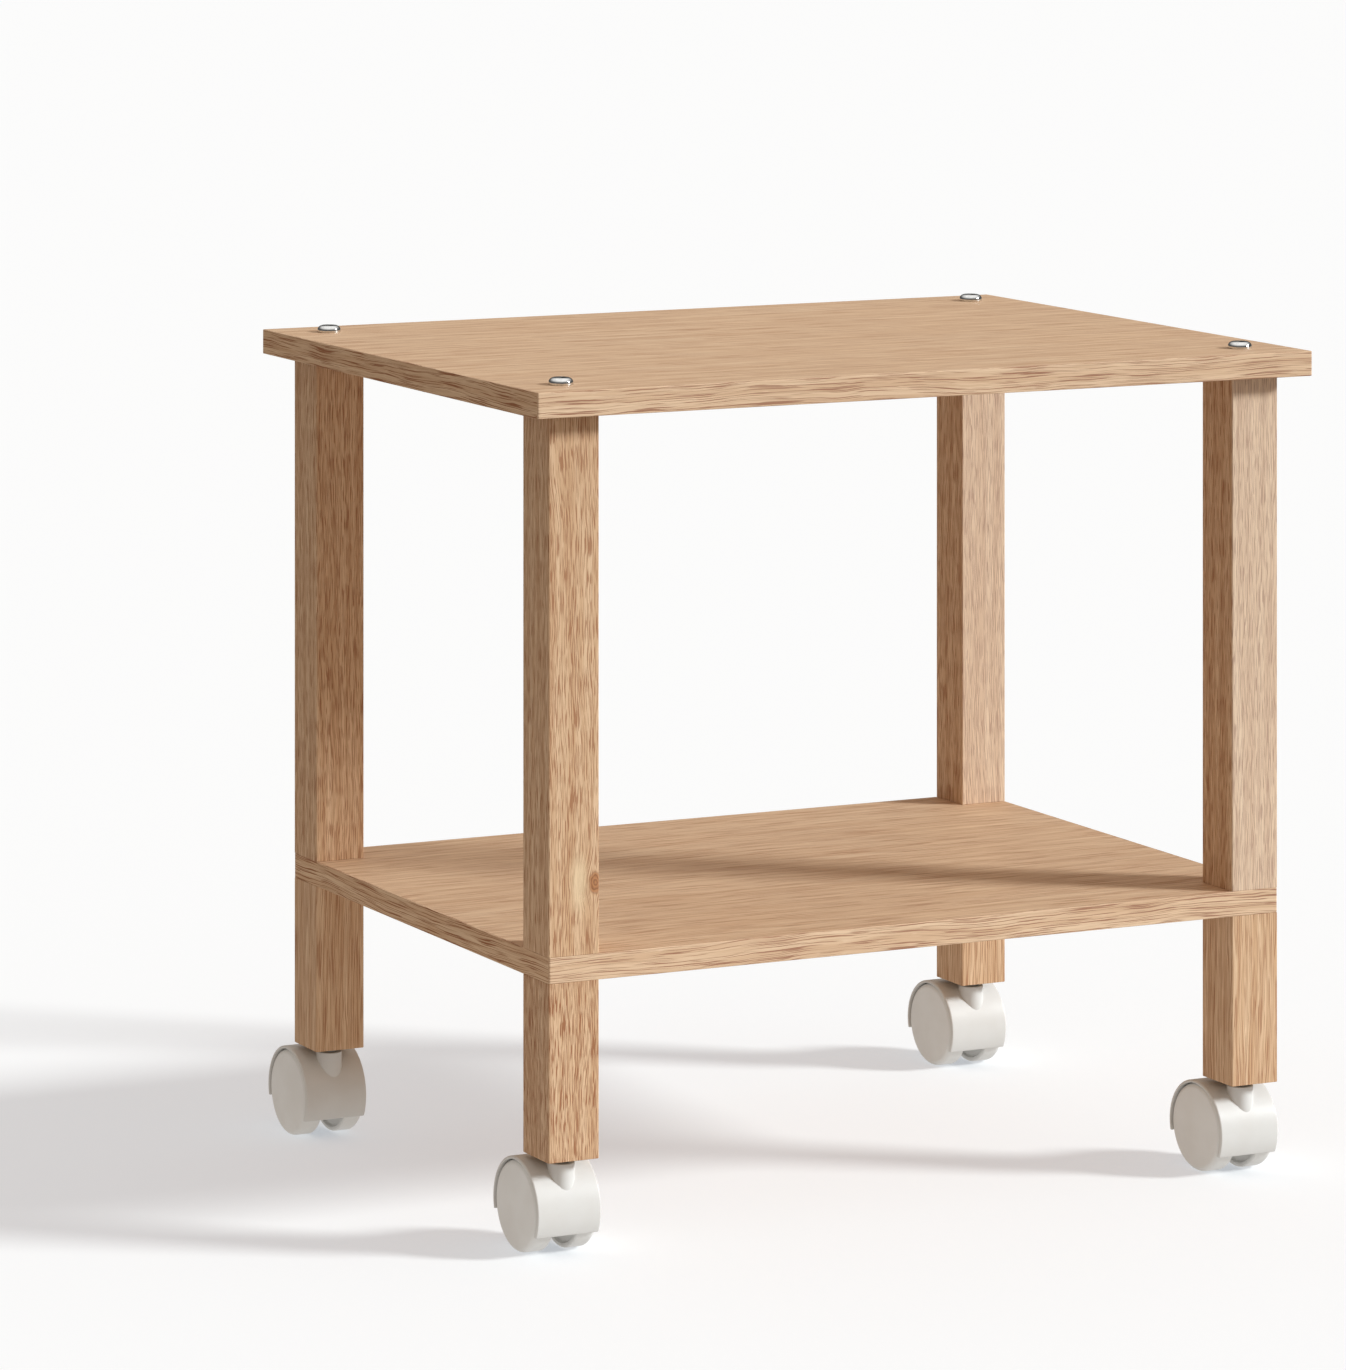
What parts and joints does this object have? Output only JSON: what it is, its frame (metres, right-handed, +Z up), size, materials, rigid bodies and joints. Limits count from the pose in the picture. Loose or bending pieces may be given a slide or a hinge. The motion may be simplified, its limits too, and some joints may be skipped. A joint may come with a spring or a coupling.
{
  "type": "mobile printer stand",
  "caption": "Two-tier wooden printer stand with an overhanging top, a shelf clamped between square posts, and swivelling twin-wheel casters.",
  "frame": {"origin": "on the floor, under the middle of the bounding box; the middle of the boards is 5.9 mm towards the front of it, because the back casters reach past the top's back edge", "axes": "+X to the right seen from the front, +Y to the back, +Z up; every caster is drawn trailing straight back"},
  "size_m": [0.42, 0.3118, 0.4034],
  "materials": {
    "board": "light oak grain foil, satin",
    "edge_band": "light oak grain edge band, satin",
    "post": "light oak grain wrap, satin",
    "bolt_steel": "bright plated",
    "stem_steel": "plain steel",
    "zinc": "zinc plated",
    "caster_plastic": "warm white, fine satin",
    "wheel_plastic": "warm white, fine satin"
  },
  "bodies": {
    "frame": {"top_board": "board", "top_edge_band": "edge_band", "lower_shelf": "board", "shelf_edge_band": "edge_band", "upper_post_front_left": "post", "lower_post_front_left": "post", "top_bolt_front_left": "bolt_steel", "top_insert_front_left": "zinc", "upper_insert_front_left": "zinc", "shelf_stud_front_left": "zinc", "lower_insert_front_left": "zinc", "caster_insert_front_left": "zinc", "caster_stem_front_left": "stem_steel", "upper_post_front_right": "post", "lower_post_front_right": "post", "top_bolt_front_right": "bolt_steel", "top_insert_front_right": "zinc", "upper_insert_front_right": "zinc", "shelf_stud_front_right": "zinc", "lower_insert_front_right": "zinc", "caster_insert_front_right": "zinc", "caster_stem_front_right": "stem_steel", "upper_post_back_left": "post", "lower_post_back_left": "post", "top_bolt_back_left": "bolt_steel", "top_insert_back_left": "zinc", "upper_insert_back_left": "zinc", "shelf_stud_back_left": "zinc", "lower_insert_back_left": "zinc", "caster_insert_back_left": "zinc", "caster_stem_back_left": "stem_steel", "upper_post_back_right": "post", "lower_post_back_right": "post", "top_bolt_back_right": "bolt_steel", "top_insert_back_right": "zinc", "upper_insert_back_right": "zinc", "shelf_stud_back_right": "zinc", "lower_insert_back_right": "zinc", "caster_insert_back_right": "zinc", "caster_stem_back_right": "stem_steel"},
    "caster_front_left": {"caster_body_front_left": "caster_plastic", "caster_axle_front_left": "stem_steel"},
    "right_wheel_front_left": {"wheel_right_front_left": "wheel_plastic"},
    "left_wheel_front_left": {"wheel_left_front_left": "wheel_plastic"},
    "caster_front_right": {"caster_body_front_right": "caster_plastic", "caster_axle_front_right": "stem_steel"},
    "right_wheel_front_right": {"wheel_right_front_right": "wheel_plastic"},
    "left_wheel_front_right": {"wheel_left_front_right": "wheel_plastic"},
    "caster_back_left": {"caster_body_back_left": "caster_plastic", "caster_axle_back_left": "stem_steel"},
    "right_wheel_back_left": {"wheel_right_back_left": "wheel_plastic"},
    "left_wheel_back_left": {"wheel_left_back_left": "wheel_plastic"},
    "caster_back_right": {"caster_body_back_right": "caster_plastic", "caster_axle_back_right": "stem_steel"},
    "right_wheel_back_right": {"wheel_right_back_right": "wheel_plastic"},
    "left_wheel_back_right": {"wheel_left_back_right": "wheel_plastic"}
  },
  "joints": [
    {"name": "swivel_front_left", "type": "hinge", "parent": "frame", "child": "caster_front_left", "pos_m": [-0.185, -0.1309, 0.03], "axis": [0, 0, 1], "continuous": true},
    {"name": "spin_right_front_left", "type": "hinge", "parent": "caster_front_left", "child": "right_wheel_front_left", "pos_m": [-0.1735, -0.1169, 0.021], "axis": [1, 0, 0], "continuous": true},
    {"name": "spin_left_front_left", "type": "hinge", "parent": "caster_front_left", "child": "left_wheel_front_left", "pos_m": [-0.1965, -0.1169, 0.021], "axis": [1, 0, 0], "continuous": true},
    {"name": "swivel_front_right", "type": "hinge", "parent": "frame", "child": "caster_front_right", "pos_m": [0.185, -0.1309, 0.03], "axis": [0, 0, 1], "continuous": true},
    {"name": "spin_right_front_right", "type": "hinge", "parent": "caster_front_right", "child": "right_wheel_front_right", "pos_m": [0.1965, -0.1169, 0.021], "axis": [1, 0, 0], "continuous": true},
    {"name": "spin_left_front_right", "type": "hinge", "parent": "caster_front_right", "child": "left_wheel_front_right", "pos_m": [0.1735, -0.1169, 0.021], "axis": [1, 0, 0], "continuous": true},
    {"name": "swivel_back_left", "type": "hinge", "parent": "frame", "child": "caster_back_left", "pos_m": [-0.185, 0.1191, 0.03], "axis": [0, 0, 1], "continuous": true},
    {"name": "spin_right_back_left", "type": "hinge", "parent": "caster_back_left", "child": "right_wheel_back_left", "pos_m": [-0.1735, 0.1331, 0.021], "axis": [1, 0, 0], "continuous": true},
    {"name": "spin_left_back_left", "type": "hinge", "parent": "caster_back_left", "child": "left_wheel_back_left", "pos_m": [-0.1965, 0.1331, 0.021], "axis": [1, 0, 0], "continuous": true},
    {"name": "swivel_back_right", "type": "hinge", "parent": "frame", "child": "caster_back_right", "pos_m": [0.185, 0.1191, 0.03], "axis": [0, 0, 1], "continuous": true},
    {"name": "spin_right_back_right", "type": "hinge", "parent": "caster_back_right", "child": "right_wheel_back_right", "pos_m": [0.1965, 0.1331, 0.021], "axis": [1, 0, 0], "continuous": true},
    {"name": "spin_left_back_right", "type": "hinge", "parent": "caster_back_right", "child": "left_wheel_back_right", "pos_m": [0.1735, 0.1331, 0.021], "axis": [1, 0, 0], "continuous": true}
  ]
}
